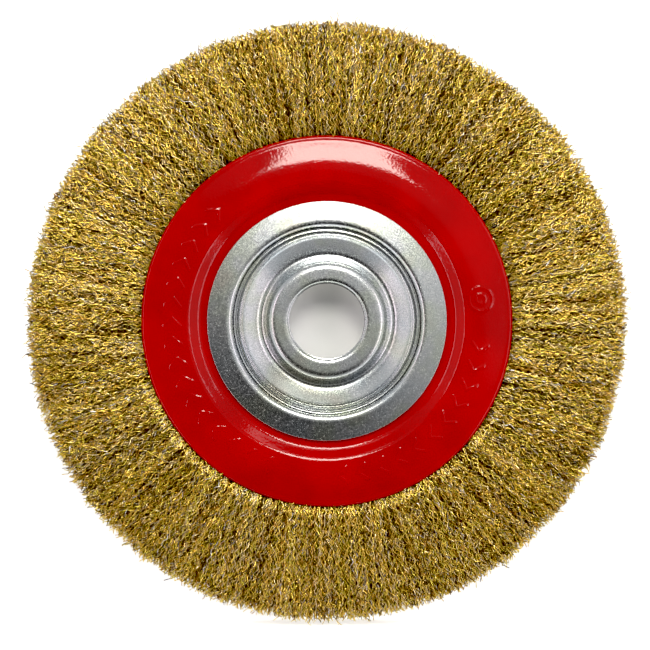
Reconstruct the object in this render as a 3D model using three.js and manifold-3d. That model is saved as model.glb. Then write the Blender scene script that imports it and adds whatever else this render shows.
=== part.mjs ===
// Crimped wire wheel brush for a bench grinder, modelled in millimetres.
// The wheel stands on its rim and spins about +Y; the origin is its centre, on the middle plane.
// From the middle outwards it is built of two centre cups with the arbor bore, two eyelets whose tubes
// nest and clamp the stack, two pressed face plates, and a ring over which every tuft of wire is folded.
import * as THREE from "three";
import { mergeVertices } from "three/addons/utils/BufferGeometryUtils.js";
import Module from "manifold-3d";

// Driving dimensions.
const TRIM_RADIUS = 125; // over the trimmed wire
const FACE_WIDTH = 24; // of the wire at its tips
const BORE_RADIUS = 16; // 32 mm arbor
const PLATE_RADIUS = 78;
const FLANGE_RADIUS = 50.4;
const TUFTS = 24;

// Sheet thicknesses and the gap kept between touching pieces.
const HUB_SHEET = 1.5;
const PLATE_SHEET = 1.2;
const GAP = 0.3;

// Segments of every turned shape, two for each tuft, so that nested pieces have their corners in line.
const TURN_SEGMENTS = 2 * TUFTS;

// Heights below are measured along the axis, from the middle plane out towards either face.
// Centre cup: its back is just off the middle plane, and its boss carries the clamping face.
const CUP_FLOOR = GAP / 2 + HUB_SHEET;
const COLLAR_END = GAP / 2;
const BOSS_TOP = 8;
const BOSS_SHOULDER_RADIUS = 23.4;
const BOSS_FOOT_RADIUS = 26.7;
const CUP_FLARE = [35.2, 6.3];
const CUP_RIM_RADIUS = 36;
const CUP_RIM_TOP = 7.4;
const CUP_BEND = 2.2;

// Eyelets: the rear one's tube nests in the front one's.
const REAR_TUBE_RADIUS = CUP_RIM_RADIUS + HUB_SHEET + GAP;
const FRONT_TUBE_RADIUS = REAR_TUBE_RADIUS + HUB_SHEET + GAP;
const TUBE_REACH = 6.4; // past the middle plane
const EYELET_CROWN = 9.8;
const EYELET_BEND = 2.6;
const FLANGE_EDGE_TOP = 8.9;

// Face plate: a flat seat for the eyelet's flange, one conical rise, a domed band and a flat rim.
const PLATE_HOLE_RADIUS = FRONT_TUBE_RADIUS + HUB_SHEET + GAP + 0.1;
const SEAT_TOP = FLANGE_EDGE_TOP - HUB_SHEET - GAP;
const PLATE_LINE = [
  [PLATE_HOLE_RADIUS, SEAT_TOP],
  [52.5, SEAT_TOP],
  [53.9, SEAT_TOP + 0.25],
  [58.3, SEAT_TOP + 2.9],
  [62.5, SEAT_TOP + 3.1],
  [67.5, SEAT_TOP + 2.85],
  [71.5, SEAT_TOP + 2.15],
  [75.5, SEAT_TOP + 1.2],
  [PLATE_RADIUS, SEAT_TOP + 1],
];

// Wire: the ring that the tufts are folded over, and the outline of a folded tuft.
const CORE_RING_RADIUS = 48;
const CORE_WIRE_RADIUS = 2;
const RING_SIDES = 8;
const FOLD_RADIUS = SEAT_TOP - PLATE_SHEET - GAP;
const EYE_RADIUS = CORE_WIRE_RADIUS + GAP;
// [radius, half width]: under the plates, pinched at their lips, then splayed out to the tips.
const SPLAY = [
  [56, FOLD_RADIUS],
  [62, 7.9],
  [68, 7.5],
  [PLATE_RADIUS - 0.6, 6],
  [81, 8.2],
  [97, 10],
  [115, 11.3],
  [TRIM_RADIUS - 1.5, FACE_WIDTH / 2],
  [TRIM_RADIUS, FACE_WIDTH / 2 - 1.5],
];

const FINISHES = {
  paint: new THREE.MeshStandardMaterial({ color: 0xb80606, roughness: 0.25, metalness: 0 }),
  zinc: new THREE.MeshStandardMaterial({ color: 0xb4b9b8, roughness: 0.3, metalness: 1 }),
  brass: new THREE.MeshStandardMaterial({ color: 0xa88a35, roughness: 0.45, metalness: 1 }),
  steel: new THREE.MeshStandardMaterial({ color: 0x77797a, roughness: 0.5, metalness: 1 }),
};

const wasm = await Module();
wasm.setup();

function profile(corners) {
  return corners.map(([radius, height]) => new THREE.Vector2(radius, height));
}

// A line of [radius, height] corners, each inner corner rounded off within reach of it.
function roundedLine(corners, reach, steps) {
  const points = profile(corners);
  const path = new THREE.Path().moveTo(points[0].x, points[0].y);
  for (let i = 1; i < points.length - 1; i++) {
    const [before, corner, after] = [points[i - 1], points[i], points[i + 1]];
    const cutBefore = Math.min(reach, corner.distanceTo(before) / 2);
    const cutAfter = Math.min(reach, corner.distanceTo(after) / 2);
    const enter = corner.clone().lerp(before, cutBefore / corner.distanceTo(before));
    const leave = corner.clone().lerp(after, cutAfter / corner.distanceTo(after));
    path.lineTo(enter.x, enter.y);
    path.quadraticCurveTo(corner.x, corner.y, leave.x, leave.y);
  }
  const last = points[points.length - 1];
  path.lineTo(last.x, last.y);
  return withoutRepeats(path.getPoints(steps));
}

function withoutRepeats(points) {
  return points.filter((point, i) => i === 0 || point.distanceTo(points[i - 1]) > 0.01);
}

// The closed section of a pressed sheet: its outer line, and that line moved in by the thickness.
function sheetSection(line, thickness) {
  const inner = line.map((point, i) => {
    const into = line[Math.max(i, 1)].clone().sub(line[Math.max(i, 1) - 1]).normalize();
    const next = Math.min(i + 1, line.length - 1);
    const out = line[next].clone().sub(line[next - 1]).normalize();
    const along = into.clone().add(out).normalize();
    const mitre = thickness / along.dot(into);
    return new THREE.Vector2(point.x + along.y * mitre, point.y - along.x * mitre);
  });
  return [...inner, ...line.slice().reverse(), inner[0].clone()];
}

// A closed section turned about the arbor axis.
function turned(section) {
  return new THREE.LatheGeometry(section, TURN_SEGMENTS);
}

function solid(geometry) {
  const bare = geometry.clone();
  bare.deleteAttribute("normal");
  bare.deleteAttribute("uv");
  const merged = mergeVertices(bare, 1e-3);
  return new wasm.Manifold(
    new wasm.Mesh({
      numProp: 3,
      vertProperties: merged.attributes.position.array,
      triVerts: new Uint32Array(merged.index.array),
    }),
  );
}

function geometryOf(manifold) {
  const mesh = manifold.getMesh();
  const geometry = new THREE.BufferGeometry();
  geometry.setAttribute("position", new THREE.BufferAttribute(mesh.vertProperties, 3));
  geometry.setIndex(new THREE.BufferAttribute(mesh.triVerts, 1));
  return geometry;
}

// A pressed cup: bore collar, boss with the flat clamping face, and a flared dish with its rim.
function centreCup() {
  const corners = [
    [BORE_RADIUS, COLLAR_END],
    [BORE_RADIUS, BOSS_TOP],
    [BOSS_SHOULDER_RADIUS, BOSS_TOP],
    [BOSS_FOOT_RADIUS, CUP_FLOOR],
    CUP_FLARE,
    [CUP_RIM_RADIUS, CUP_RIM_TOP],
  ];
  return turned(sheetSection(roundedLine(corners, CUP_BEND, 1), HUB_SHEET));
}

// An eyelet: a tube through the wheel, rolled over at the crown into a sloping flange.
function eyelet(tubeRadius) {
  const corners = [
    [tubeRadius, -TUBE_REACH],
    [tubeRadius, EYELET_CROWN],
    [FLANGE_RADIUS, FLANGE_EDGE_TOP],
  ];
  return turned(sheetSection(roundedLine(corners, EYELET_BEND, 2), HUB_SHEET));
}

function facePlate() {
  return turned(sheetSection(profile(PLATE_LINE), PLATE_SHEET));
}

// The core ring's round section at a given radius, as points that close on the first.
function ringSection(radius) {
  return Array.from({ length: RING_SIDES + 1 }, (_, i) => {
    const turn = (2 * Math.PI * (i % RING_SIDES)) / RING_SIDES;
    return new THREE.Vector2(CORE_RING_RADIUS + radius * Math.cos(turn), radius * Math.sin(turn));
  });
}

function coreRing() {
  return turned(ringSection(CORE_WIRE_RADIUS));
}

// One tuft: a bundle folded over the core ring, its two legs closed to a wedge that splays to the tips.
function wireTuft() {
  const outline = new THREE.Shape().moveTo(CORE_RING_RADIUS, -FOLD_RADIUS);
  SPLAY.forEach(([radius, half]) => outline.lineTo(radius, -half));
  SPLAY.slice().reverse().forEach(([radius, half]) => outline.lineTo(radius, half));
  outline.lineTo(CORE_RING_RADIUS, FOLD_RADIUS);
  outline.absarc(CORE_RING_RADIUS, 0, FOLD_RADIUS, Math.PI / 2, (3 * Math.PI) / 2, false);
  const section = withoutRepeats(outline.getPoints(3));
  const ring = solid(turned([...section, section[0].clone()]));
  const eye = solid(turned(ringSection(EYE_RADIUS)));
  return geometryOf(ring.subtract(eye).intersect(solid(wedge())));
}

// A tuft's share of the circle, with its sides moved in by half the gap.
function wedge() {
  const half = Math.PI / TUFTS;
  const start = GAP / 2 / Math.sin(half);
  const reach = 2 * TRIM_RADIUS;
  const sector = new THREE.Shape()
    .moveTo(start, 0)
    .lineTo(start + reach * Math.cos(half), -reach * Math.sin(half))
    .lineTo(start + reach * Math.cos(half), reach * Math.sin(half));
  const slab = new THREE.ExtrudeGeometry(sector, { depth: 2 * FACE_WIDTH, bevelEnabled: false });
  return slab.translate(0, 0, -FACE_WIDTH).rotateX(Math.PI / 2);
}

// Adds a named mesh to a group.
function place(group, name, geometry, material) {
  const mesh = new THREE.Mesh(geometry, material);
  mesh.name = name;
  group.add(mesh);
  return mesh;
}

const wheel = new THREE.Group();
const rearSide = new THREE.Group();
const frontSide = new THREE.Group();
frontSide.rotation.x = Math.PI;
wheel.add(rearSide, frontSide);

place(frontSide, "front_centre_cup", centreCup(), FINISHES.zinc);
place(frontSide, "front_eyelet", eyelet(FRONT_TUBE_RADIUS), FINISHES.zinc);
place(frontSide, "front_face_plate", facePlate(), FINISHES.paint);
place(rearSide, "rear_centre_cup", centreCup(), FINISHES.zinc);
place(rearSide, "rear_eyelet", eyelet(REAR_TUBE_RADIUS), FINISHES.zinc);
place(rearSide, "rear_face_plate", facePlate(), FINISHES.paint);
place(wheel, "core_ring", coreRing(), FINISHES.steel);

const tuft = wireTuft();
for (let i = 0; i < TUFTS; i++) {
  const name = "wire_tuft_" + String(i + 1).padStart(2, "0");
  place(wheel, name, tuft, FINISHES.brass).rotation.y = (2 * Math.PI * i) / TUFTS;
}

export default wheel;
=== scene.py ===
"""Crimped wire wheel brush: every sheet, wire and finish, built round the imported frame.

Lengths are in millimetres until a mesh is made. Heights are measured along the arbor axis, from the
wheel's middle plane out towards either face. Angles turn about the arbor from the wheel's right hand
side, over the top, as seen from the front.
"""

import math
from collections import namedtuple

import bpy
import numpy as np
from bpy.props import FloatProperty, FloatVectorProperty, IntProperty, PointerProperty
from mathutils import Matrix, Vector


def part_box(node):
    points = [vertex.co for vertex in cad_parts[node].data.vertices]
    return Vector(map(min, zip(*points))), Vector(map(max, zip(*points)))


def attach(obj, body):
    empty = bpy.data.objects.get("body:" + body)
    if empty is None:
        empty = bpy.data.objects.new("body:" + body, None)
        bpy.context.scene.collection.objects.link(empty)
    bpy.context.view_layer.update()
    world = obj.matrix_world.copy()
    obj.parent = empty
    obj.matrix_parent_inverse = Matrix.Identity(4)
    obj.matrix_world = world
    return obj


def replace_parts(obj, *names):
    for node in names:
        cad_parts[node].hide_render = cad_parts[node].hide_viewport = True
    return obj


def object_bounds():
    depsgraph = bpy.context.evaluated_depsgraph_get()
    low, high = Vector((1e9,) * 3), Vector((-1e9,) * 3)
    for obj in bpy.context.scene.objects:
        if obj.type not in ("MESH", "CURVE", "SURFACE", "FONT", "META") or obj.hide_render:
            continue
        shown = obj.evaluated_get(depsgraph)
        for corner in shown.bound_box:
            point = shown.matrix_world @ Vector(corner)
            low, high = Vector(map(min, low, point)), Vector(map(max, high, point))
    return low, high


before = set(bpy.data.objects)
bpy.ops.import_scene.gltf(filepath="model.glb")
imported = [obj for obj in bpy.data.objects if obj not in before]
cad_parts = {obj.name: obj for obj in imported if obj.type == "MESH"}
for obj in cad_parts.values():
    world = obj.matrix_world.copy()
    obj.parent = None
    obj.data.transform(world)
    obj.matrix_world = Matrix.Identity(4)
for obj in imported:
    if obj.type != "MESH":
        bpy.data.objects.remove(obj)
cad_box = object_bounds()

bl_info = {
    "name": "Wire Wheel Brush",
    "version": (1, 0, 0),
    "blender": (4, 5, 0),
    "location": "View3D > Sidebar > Wire Wheel",
    "description": "Builds a crimped wire wheel brush for a bench grinder",
    "category": "Add Mesh",
}

MM = 0.001
FRONT, REAR = -1, 1
SIDES = {"front": FRONT, "rear": REAR}


def reach_of(node):
    """A turned node's outside radius in millimetres."""
    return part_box(node)[1].x / MM


def outer_face(node, side):
    """The height of a node's outer face on its own side of the middle plane, in millimetres."""
    low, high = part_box(node)
    return (high.y if side == REAR else -low.y) / MM


TUFT_NODES = sorted(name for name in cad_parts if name.startswith("wire_tuft_"))
TUFT_SHARE = 2 * math.pi / len(TUFT_NODES)
WHEEL_RADIUS = cad_box[1].x / MM
HALF_FACE = cad_box[1].y / MM
PLATE_RADIUS = reach_of("front_face_plate")
PLATE_TOP = outer_face("front_face_plate", FRONT)
FLANGE_RADIUS = reach_of("front_eyelet")
BOSS_TOP = outer_face("front_centre_cup", FRONT)

# Sheet, and the clearance between sheets that touch.
HUB_SHEET = 1.5
PLATE_SHEET = 1.2
CLEARANCE = 0.3
BORE_RADIUS = 16.0

# Eyelets: the rear one's tube nests in the front one's. A tube reaches past the middle plane.
TUBE_RADII = {"rear": 37.8, "front": 39.6}
TUBE_REACH = 6.4
CROWN, FLANGE_TOP = 9.8, 8.9
CROWN_BENDS = [2.6]

# Centre cup, as radii and heights: up the bore, over the boss, down to its foot and out to the rim.
CUP_CORNERS = [
    (BORE_RADIUS, CLEARANCE / 2),
    (BORE_RADIUS, BOSS_TOP),
    (24.0, BOSS_TOP),
    (27.2, CLEARANCE / 2 + HUB_SHEET),
    (35.2, 6.3),
    (36.0, 7.4),
]
CUP_BENDS = [2.0, 2.3, 2.6, 0.7]
HUB_SPACING = 0.8
HUB_TURNS = 220

# Face plate: a flat seat for the flange, one conical rise, a domed band, and a flat rim with its edge down.
PLATE_CREST = 3.1
PLATE_SEAT = PLATE_TOP - PLATE_CREST
PLATE_CORNERS = [
    (41.5, PLATE_SEAT),
    (51.0, PLATE_SEAT),
    (53.7, PLATE_SEAT + 0.2),
    (58.3, PLATE_SEAT + 2.95),
    (62.5, PLATE_SEAT + PLATE_CREST),
    (67.5, PLATE_SEAT + 2.85),
    (71.5, PLATE_SEAT + 2.15),
    (75.7, PLATE_SEAT + 1.15),
    (77.2, PLATE_SEAT + 1.1),
    (PLATE_RADIUS, PLATE_SEAT + 0.3),
]
PLATE_BENDS = [1.6, 0.9, 1.0, 2.1, 2.5, 2.0, 0.5, 0.5]
PLATE_SPACING, MARK_SPACING = 1.3, 0.4

# Every sheet: points on a bend and round an end, how round an end is, and the inner side's share of points.
BEND_POINTS = 7
END_POINTS = 5
END_ROUNDING = 0.4
INNER_STRIDE = 3
CLOSEST_POINTS = 0.02


# ------------------------------------------------------------------ sizes and colours


class WireWheelSizes(bpy.types.PropertyGroup):
    """The sizes that set how the wire fill and the marks look."""

    wire_diameter: FloatProperty(
        name="Wire diameter",
        description="Thickness of one wire",
        default=0.42 * MM,
        unit="LENGTH",
    )
    crimp_height: FloatProperty(
        name="Crimp height",
        description="How far a crimp swings to each side",
        default=0.9 * MM,
        unit="LENGTH",
    )
    face_wires: IntProperty(
        name="Face wires",
        description="Wires along each face of a tuft, from plate to rim",
        default=122,
        min=1,
    )
    outer_wires: IntProperty(
        name="Outer wires",
        description="Wires that come up between them half way out",
        default=92,
        min=1,
    )
    rim_wires: IntProperty(
        name="Rim wires",
        description="Short wires that fill a tuft's rim",
        default=300,
        min=1,
    )
    mark_height: FloatProperty(
        name="Mark height",
        description="How far the pressed marks stand up",
        default=0.2 * MM,
        unit="LENGTH",
    )


def colour(name, description, default):
    return FloatVectorProperty(name=name, description=description, subtype="COLOR", default=default)


class WireWheelColours(bpy.types.PropertyGroup):
    """The colours of the finishes."""

    enamel: colour("Enamel", "Red enamel of the face plates", (0.455, 0.0004, 0.0004))
    zinc: colour("Zinc", "Zinc plating of the hub", (0.68, 0.70, 0.71))
    brass: colour("Brass", "Brass coat of the wires", (1.0, 0.74, 0.18))
    steel: colour("Steel", "Bare steel, where the coat is thin", (0.8, 0.75, 0.7))
    tarnish: colour("Tarnish", "Darkened brass", (0.10, 0.05, 0.015))


# ------------------------------------------------------------------ shader maths


class Value:
    """A number worked out over a surface. Arithmetic on it adds Math nodes to its tree."""

    def __init__(self, nodes, socket):
        self.nodes, self.socket = nodes, socket

    def maths(self, operation, *others):
        return self.nodes.add(
            "ShaderNodeMath", "Value", {"operation": operation}, dict(enumerate([self, *others]))
        )

    def __add__(self, other):
        return self.maths("ADD", other)

    __radd__ = __add__

    def __mul__(self, other):
        return self.maths("MULTIPLY", other)

    __rmul__ = __mul__

    def __rsub__(self, other):
        return self * -1 + other

    def __truediv__(self, other):
        return self.maths("DIVIDE", other)

    def spread(self, low, high, to_low=0.0, to_high=1.0):
        """Follows low to high smoothly, and holds its ends."""
        return self.nodes.add(
            "ShaderNodeMapRange",
            "Result",
            {"interpolation_type": "SMOOTHSTEP"},
            {"Value": self, "From Min": low, "From Max": high, "To Min": to_low, "To Max": to_high},
        )


class NodeMaths:
    """Adds nodes to a tree and links them."""

    def __init__(self, tree):
        self.tree = tree

    def feed(self, socket, value):
        if isinstance(value, Value):
            self.tree.links.new(value.socket, socket)
        elif socket.type == "RGBA":
            socket.default_value = (*tuple(value)[:3], 1.0)
        else:
            socket.default_value = value

    def add(self, kind, output, settings, inputs):
        """Adds a node: its settings first, a ramp's stops among them, then its inputs."""
        made = self.tree.nodes.new(kind)
        for name, value in settings.items():
            if name == "stops":
                self.set_stops(made.color_ramp, value)
            else:
                setattr(made, name, value)
        for name, value in inputs.items():
            self.feed(made.inputs[name], value)
        return Value(self, made.outputs[output])

    @staticmethod
    def set_stops(ramp, stops):
        while len(ramp.elements) < len(stops):
            ramp.elements.new(1.0)
        for element, (place, tint) in zip(ramp.elements, stops):
            element.position, element.color = place, (*tint, 1.0)


class Finish(NodeMaths):
    """One material, and the node maths behind its shader."""

    def __init__(self, name, constants):
        self.material = bpy.data.materials.new(name)
        self.material.use_nodes = True
        super().__init__(self.material.node_tree)
        self.shader = self.tree.nodes["Principled BSDF"]
        self.set(constants)

    def set(self, sockets):
        for name, value in sockets.items():
            self.feed(self.shader.inputs[name], value)

    def place(self):
        """The point on the piece, in metres in the wheel's own frame."""
        return self.add("ShaderNodeTexCoord", "Object", {}, {})

    def noise(self, size, detail, seed=0.0, roughness=0.5):
        """Soft noise with blotches of about this size in millimetres."""
        moved = self.add(
            "ShaderNodeVectorMath", "Vector", {"operation": "ADD"}, {0: self.place(), 1: (seed,) * 3}
        )
        return self.add(
            "ShaderNodeTexNoise",
            "Fac",
            {},
            {"Vector": moved, "Scale": 1 / (size * MM), "Detail": detail, "Roughness": roughness},
        )

    def radius(self):
        """Distance from the arbor axis, in millimetres."""
        flat = self.add(
            "ShaderNodeVectorMath", "Vector", {"operation": "MULTIPLY"}, {0: self.place(), 1: (1, 0, 1)}
        )
        length = self.add("ShaderNodeVectorMath", "Value", {"operation": "LENGTH"}, {0: flat})
        return length / MM

    def ramp(self, value, stops):
        return self.add("ShaderNodeValToRGB", "Color", {"stops": stops}, {"Fac": value})

    def mix(self, share, first, second, blend="MIX"):
        """Colour first, turned towards colour second by a share of 0 to 1."""
        return self.add(
            "ShaderNodeMix",
            2,
            {"data_type": "RGBA", "blend_type": blend},
            {0: share, 6: first, 7: second},
        )

    def bump(self, height, depth, under=None):
        """A normal from a height between 0 and 1, with the depth in millimetres."""
        inputs = {"Height": height, "Strength": 1.0, "Distance": depth * MM}
        if under is not None:
            inputs["Normal"] = under
        return self.add("ShaderNodeBump", "Normal", {}, inputs)


# ------------------------------------------------------------------ finishes

# The zinc's bloom: bluish, neutral, greenish and yellowish, each with its place in the noise.
BLOOM = [
    (0.30, (0.93, 0.97, 1.0)),
    (0.48, (1.0, 1.0, 1.0)),
    (0.58, (0.97, 1.0, 0.9)),
    (0.72, (1.0, 0.95, 0.84)),
]


def dimmed(colour, share):
    return tuple(share * channel for channel in colour)


def red_enamel(colours):
    """Glossy baked enamel with faint clouds and a fine orange peel."""
    paint = Finish("red_enamel", {"IOR": 1.5})
    clouds = paint.noise(size=24.0, detail=3.0)
    sheen = paint.noise(size=6.0, detail=3.0, seed=2.0)
    peel = paint.noise(size=1.0, detail=1.0, seed=5.0)
    paint.set(
        {
            "Base Color": paint.mix(clouds.spread(0.3, 0.7), colours.enamel, dimmed(colours.enamel, 0.8)),
            "Roughness": sheen.spread(0.3, 0.7, 0.05, 0.09),
            "Normal": paint.bump(peel, depth=0.034),
        }
    )
    return paint.material


def zinc_plate(colours):
    """Bright zinc: a fine crystal grain, dull specks, a faint bloom of colour, and soft rolling marks."""
    zinc = Finish("zinc_plate", {"Metallic": 1.0})
    tint = zinc.ramp(zinc.noise(size=19.0, detail=2.0, seed=3.0), BLOOM)
    grain = zinc.noise(size=0.42, detail=3.0, seed=7.0, roughness=0.65)
    flat = zinc.mix(grain.spread(0.35, 0.65), dimmed(colours.zinc, 0.82), colours.zinc)
    sheen = zinc.noise(size=0.9, detail=3.0, seed=1.0).spread(0.3, 0.7, 0.21, 0.28)
    specks = zinc.noise(size=0.5, detail=2.0, seed=4.0, roughness=0.8).spread(0.58, 0.72)
    rolling = zinc.bump(zinc.noise(size=5.0, detail=2.0, seed=9.0), depth=0.025)
    zinc.set(
        {
            "Base Color": zinc.mix(1.0, flat, tint, "MULTIPLY"),
            "Roughness": sheen + 0.35 * specks,
            "Normal": zinc.bump(grain, depth=0.01, under=rolling),
        }
    )
    return zinc.material


def drawn_steel(colours):
    """Plain steel wire of the core ring."""
    steel = Finish("drawn_steel", {"Metallic": 1.0})
    stain = steel.noise(size=2.5, detail=4.0)
    steel.set(
        {
            "Base Color": steel.mix(stain.spread(0.4, 0.7), colours.steel, dimmed(colours.steel, 0.5)),
            "Roughness": stain.spread(0.3, 0.7, 0.3, 0.5),
        }
    )
    return steel.material


def wire_shades(colours):
    """The finishes that wires come in, and each one's share of them.

    A shade is written as its colour, its share and its roughness.
    """
    brass, steel, tarnish = (np.array(c[:]) for c in (colours.brass, colours.steel, colours.tarnish))
    olive = brass * (0.78, 0.88, 0.7)
    pale = 0.55 * brass + 0.45 * steel
    rust = 0.5 * brass * (1.0, 0.72, 0.6) + 0.5 * tarnish
    shades = {
        "brass_wire": (brass, 0.37, 0.22),
        "olive_wire": (olive, 0.18, 0.26),
        "pale_wire": (pale, 0.19, 0.2),
        "steel_wire": (steel, 0.03, 0.22),
        "reddish_wire": (rust, 0.1, 0.3),
        "tarnished_wire": (tarnish, 0.13, 0.4),
    }
    made = [
        Finish(name, {"Base Color": tint, "Metallic": 0.88, "Roughness": roughness}).material
        for name, (tint, _, roughness) in shades.items()
    ]
    return made, [share for _, share, _ in shades.values()]


def wire_depths_painted_shade(colours):
    """The fill below the wires made one by one: a tangle of rough brass and tarnish, painted dark as the
    shade among the deep wires and lighter near the rim as painted light.
    """
    bed = Finish("wire_depths_painted_shade", {"Metallic": 0.9, "Roughness": 0.55})
    tangle = bed.noise(size=0.9, detail=4.0, roughness=0.7)
    # Painted shade and light: the bed's brass is dimmed further in, as the shade deep in the fill, and
    # brighter near the rim, where light reaches in.
    painted_light_near_rim = bed.radius().spread(WHEEL_RADIUS - 9, WHEEL_RADIUS - 3.5)
    light = bed.mix(painted_light_near_rim, dimmed(colours.brass, 0.45), dimmed(colours.brass, 0.8))
    bed.set(
        {
            "Base Color": bed.mix(tangle.spread(0.45, 0.72), dimmed(colours.tarnish, 0.8), light),
            "Normal": bed.bump(tangle, depth=0.8),
        }
    )
    return bed.material


# ------------------------------------------------------------------ turned sheet


def bent_line(corners, bends):
    """A line through corners, each inner one rounded by a parabola that starts its bend's reach away.

    A point is (1-t)^2 A + 2t(1-t) C + t^2 B, with C the corner and A and B the bend's ends on the line.
    """
    points = np.asarray(corners, float)
    before, corner, after = points[:-2], points[1:-1], points[2:]
    reach = np.asarray(bends, float)[:, None] * np.ones((len(corner), 1))
    into, out = before - corner, after - corner
    into_length = np.linalg.norm(into, axis=1, keepdims=True)
    out_length = np.linalg.norm(out, axis=1, keepdims=True)
    start = corner + into / into_length * np.minimum(reach, into_length / 2)
    end = corner + out / out_length * np.minimum(reach, out_length / 2)
    t = np.linspace(0, 1, BEND_POINTS)[None, :, None]
    curve = (1 - t) ** 2 * start[:, None] + 2 * t * (1 - t) * corner[:, None] + t**2 * end[:, None]
    line = np.vstack([points[:1], curve.reshape(-1, 2), points[-1:]])
    keep = np.append(True, np.linalg.norm(np.diff(line, axis=0), axis=1) > 1e-4)
    return line[keep]


def resampled(line, spacing, zone=None, zone_spacing=None):
    """The line with points at about this spacing added to its own, and closer ones in a zone of radii."""
    along = np.append(0, np.cumsum(np.linalg.norm(np.diff(line, axis=0), axis=1)))
    stations = [along, np.arange(0, along[-1], spacing)]
    if zone:
        fine = np.arange(0, along[-1], zone_spacing)
        at = np.interp(fine, along, line[:, 0])
        stations.append(fine[(at > zone[0]) & (at < zone[1])])
    s = np.unique(np.concatenate(stations))
    s = s[np.append(True, np.diff(s) > CLOSEST_POINTS)]
    return np.column_stack([np.interp(s, along, line[:, 0]), np.interp(s, along, line[:, 1])])


def normals_of(line):
    """Unit vectors on the left of the line's way along, which is a sheet's outer side."""
    way = np.gradient(line, axis=0)
    way /= np.linalg.norm(way, axis=1, keepdims=True)
    return np.column_stack([-way[:, 1], way[:, 0]])


def sheet_section(line, thickness):
    """A closed section: the outer line, a softly rounded end, the line moved in, and another such end.

    An end's points are C + N cos(a) + W sin(a) for a between 0 and pi, with C the middle of the end, N
    half the thickness across the sheet, and W a share of that along it. The inner side has fewer points
    than the outer one.
    """
    across = normals_of(line) * thickness
    inner = (line - across)[::-1][::INNER_STRIDE]
    a = np.linspace(0, math.pi, END_POINTS + 2)[1:-1, None]

    def round_end(index, way):
        middle = line[index] - across[index] / 2
        along = END_ROUNDING * np.array([across[index][1], -across[index][0]]) / 2 * way
        return middle + across[index] / 2 * np.cos(a) * way + along * np.sin(a) * way

    far = round_end(-1, 1)
    near = round_end(0, -1)
    return np.vstack([line, far, inner, near])


def grid_mesh(name, points, finish, flip=False):
    """A closed surface over points[i, j], which wraps round both ways."""
    rows, columns = points.shape[:2]
    i, j = np.meshgrid(np.arange(rows), np.arange(columns), indexing="ij")
    next_i, next_j = (i + 1) % rows, (j + 1) % columns
    corners = [i * columns + j, next_i * columns + j, next_i * columns + next_j, i * columns + next_j]
    faces = np.stack(corners[::-1] if flip else corners, axis=-1).reshape(-1, 4)
    return mesh_object(name, points.reshape(-1, 3) * MM, faces, [finish])


def mesh_object(name, points, faces, finishes, slots=None):
    """An object of these points in metres and these faces, which all have as many corners."""
    mesh = bpy.data.meshes.new(name)
    mesh.vertices.add(len(points))
    mesh.vertices.foreach_set("co", np.ascontiguousarray(points, np.float32).ravel())
    mesh.loops.add(faces.size)
    mesh.loops.foreach_set("vertex_index", np.ascontiguousarray(faces, np.int32).ravel())
    mesh.polygons.add(len(faces))
    mesh.polygons.foreach_set("loop_start", np.arange(0, faces.size, faces.shape[1], dtype=np.int32))
    for finish in finishes:
        mesh.materials.append(finish)
    if slots is not None:
        mesh.polygons.foreach_set("material_index", slots.astype(np.int32))
    mesh.update(calc_edges=True)
    mesh.validate()
    mesh.shade_smooth()
    made = bpy.data.objects.new(name, mesh)
    bpy.context.scene.collection.objects.link(made)
    return made


def turned(name, section, side, turns, finish, lift=None):
    """A surface of revolution: the point at radius r, height h and turn t is (r cos t, side h, r sin t).

    Where there is a lift, lift(t, r) adds to the height of each point.
    """
    t = turns[:, None]
    radius, height = section[None, :, 0], section[None, :, 1]
    if lift is not None:
        height = height + lift(t, radius)
    points = np.stack(
        np.broadcast_arrays(radius * np.cos(t), side * height, radius * np.sin(t)), axis=-1
    )
    return grid_mesh(name, points, finish, flip=side == FRONT)


def even_turns(count):
    """Turns all the way round, 2 pi / count apart."""
    return np.linspace(0, 2 * math.pi, count, endpoint=False)


# ------------------------------------------------------------------ pressed marks

# All marks lie in one band of the plate. A stroke has half a width and a soft edge outside it.
MARK_MIDDLE = 65.0
MARK_BAND = (59.5, 71.5)
STROKE = 0.3
SOFT_EDGE = 0.4

# Chevrons follow each other along two arcs. Their points are measured from the band's middle.
ARROW_ARCS = ((math.radians(-88), math.radians(-6)), (math.radians(132), math.radians(252)))
CHEVRON_PITCH = 8.4 / MARK_MIDDLE
CHEVRON_TAIL, CHEVRON_HALF, CHEVRON_POINT = 1.9, 3.4, (-1.5, 0.0)

# The plain mark: two circles round one middle.
RING_MARK_TURN = math.radians(8)
RING_MARK_REACH = 0.1
RING_MARK_RADII = (4.9, 1.9)

# Steps between a plate's turns, away from the marks and along them.
COARSE_TURN, FINE_TURN = math.radians(2.0), math.radians(0.54)


def stroke_height(distance):
    """1 on a stroke's middle line, falling smoothly to 0 past its edge."""
    t = np.clip((STROKE + SOFT_EDGE - distance) / SOFT_EDGE, 0, 1)
    return t * t * (3 - 2 * t)


def segment_distance(x, y, start, end):
    """Distance from each point to the straight stroke from start to end."""
    way = np.subtract(end, start)
    t = np.clip(((x - start[0]) * way[0] + (y - start[1]) * way[1]) / (way @ way), 0, 1)
    return np.hypot(x - start[0] - t * way[0], y - start[1] - t * way[1])


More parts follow.
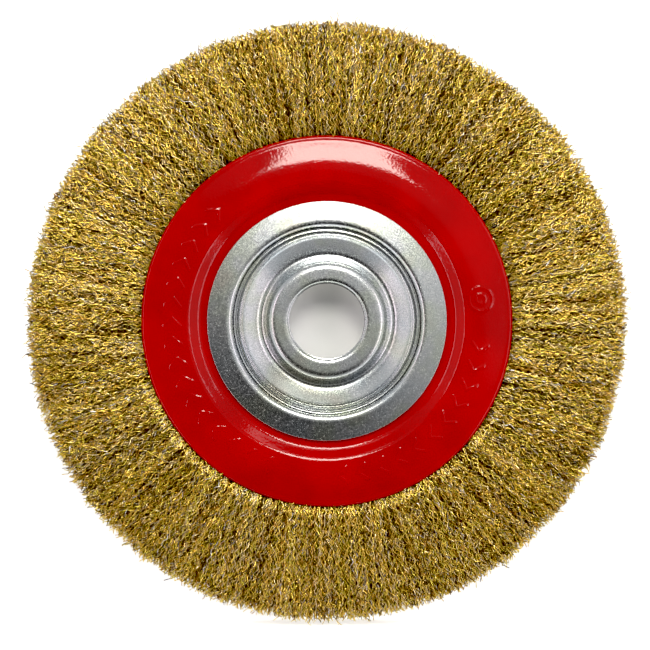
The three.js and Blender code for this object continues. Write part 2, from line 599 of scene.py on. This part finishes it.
def pressed_marks(turns, radius):
    """Height, 0 to 1, of the marks: two arcs of chevrons that point the way the wheel runs, and a ring.

    Each chevron is two strokes that meet at its point. x runs along the arc and y outwards.
    """
    total = np.zeros(np.broadcast(turns, radius).shape)
    y = radius - MARK_MIDDLE

    def along(middle):
        return (np.mod(turns - middle + math.pi, 2 * math.pi) - math.pi) * radius

    for first, last in ARROW_ARCS:
        for middle in np.arange(first + CHEVRON_PITCH / 2, last, CHEVRON_PITCH):
            x = along(middle)
            for half in (-1, 1):
                stroke = segment_distance(x, y, (CHEVRON_TAIL, CHEVRON_HALF * half), CHEVRON_POINT)
                total = np.maximum(total, stroke_height(stroke))
    x = along(RING_MARK_TURN)
    for ring in RING_MARK_RADII:
        total = np.maximum(total, stroke_height(np.abs(np.hypot(x, y) - ring)))
    return total


def mark_turns():
    """Turns for a face plate: close together along the marks, and wider apart elsewhere."""
    turns = [np.arange(0, 2 * math.pi - COARSE_TURN / 2, COARSE_TURN)]
    ring = (RING_MARK_TURN - RING_MARK_REACH, RING_MARK_TURN + RING_MARK_REACH)
    for first, last in (*ARROW_ARCS, ring):
        turns.append(np.mod(np.arange(first, last, FINE_TURN), 2 * math.pi))
    turns = np.unique(np.concatenate(turns))
    return turns[np.append(True, np.diff(turns) > FINE_TURN / 3)]


# ------------------------------------------------------------------ wires


# The fill's half width at some radii: pinched at the plates' edges, then splayed out to the tips.
# Each entry is a radius and the half width there.
SPLAY = [
    (58, 6.0),
    (62, 7.9),
    (68, 7.5),
    (PLATE_RADIUS + 0.5, 7.0),
    (PLATE_RADIUS + 3, 8.6),
    (97, 10.1),
    (115, 11.3),
    (WHEEL_RADIUS - 1, HALF_FACE - 0.2),
    (WHEEL_RADIUS + 4, HALF_FACE),
]

# Long wires lie in two layers on each face. A layer says where its wires start and how much that varies,
# how far their starts dive under the others, and how many points a wire has.
Layer = namedtuple("Layer", "start vary dive points")
FACE_LAYER = Layer(PLATE_RADIUS - 1.5, 1.5, 0.0, 27)
OUTER_LAYER = Layer(100, 10, 2.5, 15)
LAYER_DEPTH = (0.2, 2.3)
DIVE_LENGTH = 5
LAYER_BOW = 1.0

# Strays lie loose on each face of a tuft.
STRAYS = 2
STRAY_STARTS = (PLATE_RADIUS + 2, 108)
STRAY_LENGTHS = (8, 20)
STRAY_LIFT, STRAY_POINTS, STRAY_CRIMP, STRAY_BOW = 0.4, 14, 0.3, 3.0

# Short wires fill the trimmed rim, almost from face to face.
RIM_LENGTH, RIM_SHARE, RIM_POINTS, RIM_BOW = 8, 0.93, 5, 0.4

# Where tips end, from the trimmed radius: a mean and a spread, their limits, and the few that are longer.
TIP_SPREAD = (-0.5, 0.85)
TIP_LIMITS = (-3.5, 1.6)
LONG_SHARE, LONG_REACH = 0.03, (0.5, 3.0)

# How wires vary: over a tuft's share of the circle, along themselves, and in lean, waves and crimp.
TURN_VARY = 0.62
POINT_VARY = 0.16
LEAN_VARY = 0.1
WAVES = (2.0, 7.0)
ANY_PHASE = 6.3
BOW_SIDEWAYS, BOW_IN_DEPTH = 1.3, 0.4
SWING_VARY = (0.45, 1.3)
SWING_IN_DEPTH = 0.7
PLANE_DRIFT = 0.5

TUBE_SIDES = 3
PATCH_SHARE = 0.45

# The bed under the wires: how far it goes in under the plates, short of the rim and below the faces.
BED_UNDER, BED_SHORT, BED_BELOW = 14, 3, 2.2
BED_RINGS, BED_TURNS = 40, 180


def half_width(radius):
    """The fill's half width, in straight runs between the splay's radii."""
    return np.interp(radius, *np.transpose(SPLAY))


def crimped_paths(rng, turn, start, end, height_at, points, crimp, bow):
    """Centre lines of crimped wires, as an array of wires by points by (x, y, z) in millimetres.

    A wire runs outwards from radius start to end round the tuft's turn, at height height_at(radius).
    To that it adds a lean, a slow bow a sin(k s + p) to the side and in depth, and the crimp: at every
    other point it swings one way and at the rest the other way, in a plane that turns a little at random.
    """
    count = len(start)
    column, grid = (count, 1), (count, points)
    s = np.linspace(0, 1, points)[None, :] + rng.normal(0, POINT_VARY / points, grid)
    radius = start + (end - start) * s
    at = turn + rng.uniform(-TURN_VARY, TURN_VARY, column) * TUFT_SHARE

    def slow(reach):
        waves = rng.uniform(*WAVES, column) * s + rng.uniform(0, ANY_PHASE, column)
        return bow * reach * rng.normal(0, 1, column) * np.sin(waves)

    swing = crimp * rng.uniform(*SWING_VARY, grid) * (1 - 2 * (np.arange(points) % 2))[None, :]
    plane = rng.uniform(0, math.pi, column) + np.cumsum(rng.normal(0, PLANE_DRIFT, grid), axis=1)
    lean = rng.normal(0, LEAN_VARY, column) * (radius - start)
    side = lean + slow(BOW_SIDEWAYS) + swing * np.cos(plane)
    height = height_at(radius) + slow(BOW_IN_DEPTH) + SWING_IN_DEPTH * swing * np.sin(plane)
    out = np.stack([radius * np.cos(at), height, radius * np.sin(at)], axis=-1)
    sideways = np.stack([-np.sin(at), np.zeros(column), np.cos(at)], axis=-1)
    return out + side[..., None] * sideways


def tube_mesh(rng, paths, radius):
    """Closed tubes along paths: points P + r (N cos a + B sin a), with N and B square to the path.

    Each tube's corners start at a random a, so that the flats of neighbours face different ways.
    Returns the points and the three-cornered faces: for each tube all its walls, then its two ends.
    """
    way = np.gradient(paths, axis=1)
    way /= np.linalg.norm(way, axis=2, keepdims=True)
    first = np.cross(way, np.broadcast_to([0.0, 1.0, 0.0], way.shape))
    first /= np.linalg.norm(first, axis=2, keepdims=True)
    second = np.cross(way, first)
    corner = np.arange(TUBE_SIDES)
    a = rng.uniform(0, ANY_PHASE, (len(paths), 1, 1, 1)) + (corner * 2 * math.pi / TUBE_SIDES)[:, None]
    rings = paths[:, :, None] + radius * (first[:, :, None] * np.cos(a) + second[:, :, None] * np.sin(a))
    steps = paths.shape[1]
    base = (np.arange(steps - 1) * TUBE_SIDES)[:, None]
    low, high = base + corner, base + (corner + 1) % TUBE_SIDES
    over, beside = high + TUBE_SIDES, low + TUBE_SIDES
    walls = [np.stack([low, high, over], -1), np.stack([low, over, beside], -1)]
    fan = np.stack([np.zeros(TUBE_SIDES - 2, int), corner[1:-1], corner[2:]], -1)
    ends = [fan[:, ::-1], fan + (steps - 1) * TUBE_SIDES]
    one = np.vstack([part.reshape(-1, 3) for part in (*walls, *ends)])
    starts = np.arange(len(paths)) * steps * TUBE_SIDES
    return rings.reshape(-1, 3), (one[None] + starts[:, None, None]).reshape(-1, 3)


def tuft_turn(node):
    """The turn of a tuft's middle, to the nearest whole tuft."""
    low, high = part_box(node)
    middle = (low + high) / 2
    return round(math.atan2(middle.z, middle.x) / TUFT_SHARE) * TUFT_SHARE


def tuft_wires(turn, rng, sizes):
    """Batches of paths that make one tuft: two layers and a few strays on each face, then its rim."""
    crimp = sizes.crimp_height / MM

    def tips(count):
        long = (rng.random((count, 1)) < LONG_SHARE) * rng.uniform(*LONG_REACH, (count, 1))
        return WHEEL_RADIUS + rng.normal(*TIP_SPREAD, (count, 1)).clip(*TIP_LIMITS) + long

    for side in (FRONT, REAR):
        for count, layer in ((sizes.face_wires, FACE_LAYER), (sizes.outer_wires, OUTER_LAYER)):
            start = layer.start + rng.uniform(-1, 1, (count, 1)) * layer.vary
            below = rng.uniform(*LAYER_DEPTH, (count, 1))

            def in_layer(radius, side=side, start=start, below=below, dive=layer.dive):
                sunk = dive * np.clip(1 - (radius - start) / DIVE_LENGTH, 0, 1)
                return side * (half_width(radius) - below - sunk)

            yield crimped_paths(rng, turn, start, tips(count), in_layer, layer.points, crimp, LAYER_BOW)

        def on_face(radius, side=side):
            return side * (half_width(radius) + STRAY_LIFT)

        start = rng.uniform(*STRAY_STARTS, (STRAYS, 1))
        end = start + rng.uniform(*STRAY_LENGTHS, (STRAYS, 1))
        yield crimped_paths(rng, turn, start, end, on_face, STRAY_POINTS, STRAY_CRIMP, STRAY_BOW)

    end = tips(sizes.rim_wires)
    across = rng.uniform(-RIM_SHARE, RIM_SHARE, end.shape)

    def in_rim(radius):
        return across * half_width(radius)

    yield crimped_paths(rng, turn, end - RIM_LENGTH, end, in_rim, RIM_POINTS, crimp, RIM_BOW)


def shades_along(rng, wires, segments, shares):
    """A shade for each segment of each wire: the wire's own, or by chance another for a patch."""
    own = rng.choice(len(shares), (wires, 1), p=shares)
    patch = rng.choice(len(shares), (wires, segments), p=shares)
    return np.where(rng.random((wires, segments)) < PATCH_SHARE, patch, own)


def wire_tuft(node, name, seed, finishes, shares, sizes):
    """One tuft as an object: its tubes joined into one mesh, each wire with a shade of its own."""
    rng = np.random.default_rng(seed)
    points, faces, slots, count = [], [], [], 0
    for paths in tuft_wires(tuft_turn(node), rng, sizes):
        tube, sides = tube_mesh(rng, paths, sizes.wire_diameter / MM / 2)
        shade = shades_along(rng, len(paths), paths.shape[1] - 1, shares)
        points.append(tube)
        faces.append(sides + count)
        walls = np.repeat(shade, TUBE_SIDES, axis=1)
        slots.append(np.hstack([walls, walls, shade[:, :1], shade[:, -1:]]).ravel())
        count += len(tube)
    return mesh_object(name, np.vstack(points) * MM, np.vstack(faces), finishes, np.concatenate(slots))


# ------------------------------------------------------------------ stage

CAMERA_LENS = 100
CAMERA_PLACE = (-0.8, -766, -1.7)
BLACK_LEVEL = 0.02

# Half the size of each stage sheet in metres, and their clearances from the wheel in millimetres.
FLOOR_HALF, BACKDROP_HALF = 2.0, 0.34
FLOOR_BELOW, BACKDROP_BEHIND = 2.6, 1.6
PAPER_WHITE = (0.8, 0.8, 0.8)
PAPER_GLOW = (0.72, 0.72, 0.72)

# Soft lamps. Each lies some degrees off the arbor axis, and some clockwise of straight up as seen from the
# front, and has a width and height in metres, a radiance and a tint.
Lamp = namedtuple("Lamp", "name off_axis clockwise size radiance tint")
LAMPS = (
    Lamp("key", 29, 4, (0.35, 0.29), 16, (1.0, 0.97, 0.88)),
    Lamp("overhead", 47, 6, (0.9, 0.14), 1.6, (1.0, 0.98, 0.95)),
    Lamp("right", 44, 92, (0.17, 1.0), 3.0, (1.0, 0.86, 0.92)),
    Lamp("left", 44, -95, (0.17, 1.0), 3.0, (1.0, 0.84, 0.9)),
)


# ------------------------------------------------------------------ operators


class WIREWHEEL_OT_face_plates(bpy.types.Operator):
    """Press the two red face plates, with their seat, cone, domed band, turned edge and marks"""

    bl_idname = "wirewheel.face_plates"
    bl_label = "Face Plates"

    def execute(self, context):
        finish = red_enamel(context.scene.wire_wheel_colours)
        mark_height = context.scene.wire_wheel_sizes.mark_height / MM
        line = resampled(bent_line(PLATE_CORNERS, PLATE_BENDS), PLATE_SPACING, MARK_BAND, MARK_SPACING)
        section = sheet_section(line, PLATE_SHEET)
        outer = np.arange(len(section)) < len(line)

        def lift(turns, radius):
            marks = pressed_marks(turns, radius) * mark_height
            return np.where(outer[None, :], marks, 0.0)

        for word, side in SIDES.items():
            plate = turned(word + "_plate", section, side, mark_turns(), finish, lift)
            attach(plate, "root")
            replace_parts(plate, word + "_face_plate")
        return {"FINISHED"}


class WIREWHEEL_OT_hub(bpy.types.Operator):
    """Press the zinc-plated hub: two nested eyelets and two centre cups with the arbor bore"""

    bl_idname = "wirewheel.hub"
    bl_label = "Hub"

    def execute(self, context):
        finish = zinc_plate(context.scene.wire_wheel_colours)
        edge = FLANGE_RADIUS - END_ROUNDING * HUB_SHEET / 2

        def pressed(name, line, side):
            section = sheet_section(resampled(line, HUB_SPACING), HUB_SHEET)
            return turned(name, section, side, even_turns(HUB_TURNS), finish)

        for word, side in SIDES.items():
            piece = pressed(word + "_cup", bent_line(CUP_CORNERS, CUP_BENDS), side)
            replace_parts(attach(piece, "root"), word + "_centre_cup")
            tube = TUBE_RADII[word]
            line = bent_line([(tube, -TUBE_REACH), (tube, CROWN), (edge, FLANGE_TOP)], CROWN_BENDS)
            piece = pressed(word + "_flange", line, side)
            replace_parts(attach(piece, "root"), word + "_eyelet")
        return {"FINISHED"}


class WIREWHEEL_OT_core_ring(bpy.types.Operator):
    """Give the core ring its steel"""

    bl_idname = "wirewheel.core_ring"
    bl_label = "Core Ring"

    def execute(self, context):
        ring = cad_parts["core_ring"]
        ring.data.materials.clear()
        ring.data.materials.append(drawn_steel(context.scene.wire_wheel_colours))
        return {"FINISHED"}


class WIREWHEEL_OT_wire_fill(bpy.types.Operator):
    """Lay the crimped wires, tuft by tuft, over a bed painted dark as the shade in the depths of the fill
    """

    bl_idname = "wirewheel.wire_fill"
    bl_label = "Wire Fill"

    def execute(self, context):
        colours, sizes = context.scene.wire_wheel_colours, context.scene.wire_wheel_sizes
        finishes, shares = wire_shades(colours)
        for number, node in enumerate(TUFT_NODES, 1):
            tuft = wire_tuft(node, f"wires_{number:02d}", number, finishes, shares, sizes)
            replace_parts(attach(tuft, "root"), node)
        # The bed is a sheet under the wires that stands in for the deeper wires, painted dark as their
        # shade.
        radii = np.linspace(PLATE_RADIUS - BED_UNDER, WHEEL_RADIUS - BED_SHORT, BED_RINGS)
        width = half_width(radii) - BED_BELOW
        section = np.column_stack([np.append(radii, radii[::-1]), np.append(width, -width[::-1])])
        bed = turned("fill_depths_painted_shade", section, REAR, even_turns(BED_TURNS), wire_depths_painted_shade(colours))
        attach(bed, "root")
        return {"FINISHED"}


class WIREWHEEL_OT_stage(bpy.types.Operator):
    """Set the pale floor and backdrop, the soft lamps and the camera"""

    bl_idname = "wirewheel.stage"
    bl_label = "Stage"

    def execute(self, context):
        camera = bpy.data.objects.new("camera", bpy.data.cameras.new("camera"))
        context.scene.collection.objects.link(camera)
        camera.data.lens = CAMERA_LENS
        camera.location = Vector(CAMERA_PLACE) * MM
        camera.rotation_euler = (math.pi / 2, 0, 0)
        context.scene.camera = camera
        grade = context.scene.view_settings
        grade.view_transform = "Standard"
        grade.use_curve_mapping = True
        grade.curve_mapping.black_level = (BLACK_LEVEL,) * 3
        grade.curve_mapping.update()
        below, behind = -(WHEEL_RADIUS + FLOOR_BELOW) * MM, (HALF_FACE + BACKDROP_BEHIND) * MM
        self.paper("floor", (0, 0, below), (0, 0, 0), FLOOR_HALF, 0.0)
        self.paper("backdrop", (0, behind, 0), (math.pi / 2, 0, 0), BACKDROP_HALF, 2 * BORE_RADIUS * MM)
        for side in (FRONT, REAR):
            for lamp in LAMPS:
                self.hang(lamp, side)
        self.air(context.scene)
        return {"FINISHED"}

    def hang(self, lamp, side):
        """A rectangular soft lamp, a metre away, that faces the wheel.

        Its power is its radiance times pi times its area.
        """
        light = bpy.data.lights.new(lamp.name, "AREA")
        light.shape, light.size, light.size_y = "RECTANGLE", *lamp.size
        light.energy, light.color = lamp.radiance * math.pi * lamp.size[0] * lamp.size[1], lamp.tint
        tilt, clock = math.radians(lamp.off_axis), math.radians(lamp.clockwise)
        out = math.sin(tilt)
        place = Vector((out * math.sin(clock), side * math.cos(tilt), out * math.cos(clock)))
        made = bpy.data.objects.new(lamp.name, light)
        made.location = place
        made.rotation_euler = (-place).to_track_quat("-Z", "Y").to_euler()
        bpy.context.scene.collection.objects.link(made)

    def paper(self, name, place, turn, half, shade):
        """A white sheet that only the camera sees. It fades out towards its edge, and its back is clear.

        It glows outside the shade radius, so that shadows on it stay faint.
        """
        white = Finish(name, {"Base Color": PAPER_WHITE, "Roughness": 1.0, "Specular IOR Level": 0.0})
        away = white.add("ShaderNodeVectorMath", "Value", {"operation": "LENGTH"}, {0: white.place()})
        glow = white.mix(away.spread(shade, 3 * shade + MM), (0.0, 0.0, 0.0), PAPER_GLOW)
        white.set({"Emission Color": glow, "Emission Strength": 1.0})
        back = white.add("ShaderNodeNewGeometry", "Backfacing", {}, {})
        clear = white.tree.nodes.new("ShaderNodeBsdfTransparent").outputs[0]
        shown = (1 - back) * away.spread(0.5 * half, 0.98 * half, 1.0, 0.0)
        mixed = white.add("ShaderNodeMixShader", 0, {}, {0: shown, 1: Value(white, clear)})
        white.tree.links.new(white.shader.outputs[0], mixed.socket.node.inputs[2])
        white.tree.links.new(mixed.socket, white.tree.nodes["Material Output"].inputs["Surface"])
        corners = np.array([(-half, -half, 0), (half, -half, 0), (half, half, 0), (-half, half, 0)])
        sheet = mesh_object(name, corners, np.array([[0, 1, 2, 3]]), [white.material])
        sheet.location, sheet.rotation_euler = place, turn
        sheet.visible_diffuse = sheet.visible_glossy = sheet.visible_shadow = False

    def air(self, scene):
        """The light between the lamps, from the way it comes: a ring round the rim that is brightest at the
        sides, a soft rise from dark below to bright above in front of each face, and a bounce from below.
        """
        world = bpy.data.worlds.new("studio")
        world.use_nodes = True
        scene.world = world
        nodes = NodeMaths(world.node_tree)
        way = nodes.add("ShaderNodeTexCoord", "Generated", {}, {})
        split = "ShaderNodeSeparateXYZ"
        across, along, up = (nodes.add(split, axis, {}, {"Vector": way}) for axis in "XYZ")
        lean = along.maths("ABSOLUTE")
        ring = lean.spread(0.5, 0.85, 1.0, 0.0)
        bounce = lean.spread(0.2, 0.45, 1.0, 0.0) * up.spread(-0.85, -0.1, 1.5, 0.0)
        front = (up + 0.65 * across).spread(-0.28, 0.24, 0.0, 0.58)
        glow = front * (1 - ring) + ring * (0.4 + 0.45 * across * across) + bounce
        seen = nodes.add("ShaderNodeLightPath", "Is Camera Ray", {}, {})
        background = world.node_tree.nodes["Background"]
        nodes.feed(background.inputs["Color"], (1, 1, 1))
        nodes.feed(background.inputs["Strength"], seen + (1 - seen) * glow)


# ------------------------------------------------------------------ panel and registration

STEPS = (
    WIREWHEEL_OT_stage,
    WIREWHEEL_OT_face_plates,
    WIREWHEEL_OT_hub,
    WIREWHEEL_OT_core_ring,
    WIREWHEEL_OT_wire_fill,
)


class WIREWHEEL_PT_build(bpy.types.Panel):
    """Sidebar panel with a button for each step"""

    bl_label = "Wire Wheel"
    bl_idname = "WIREWHEEL_PT_build"
    bl_space_type = "VIEW_3D"
    bl_region_type = "UI"
    bl_category = "Wire Wheel"

    def draw(self, context):
        for group in (context.scene.wire_wheel_sizes, context.scene.wire_wheel_colours):
            for name in group.__annotations__:
                self.layout.prop(group, name)
        for step in STEPS:
            self.layout.operator(step.bl_idname)


CLASSES = (WireWheelSizes, WireWheelColours, *STEPS, WIREWHEEL_PT_build)


def register():
    for entry in CLASSES:
        bpy.utils.register_class(entry)
    bpy.types.Scene.wire_wheel_sizes = PointerProperty(type=WireWheelSizes)
    bpy.types.Scene.wire_wheel_colours = PointerProperty(type=WireWheelColours)


def unregister():
    del bpy.types.Scene.wire_wheel_colours
    del bpy.types.Scene.wire_wheel_sizes
    for entry in reversed(CLASSES):
        bpy.utils.unregister_class(entry)


def main():
    register()
    for step in STEPS:
        group, name = step.bl_idname.split(".")
        getattr(getattr(bpy.ops, group), name)()


if __name__ == "__main__":
    main()
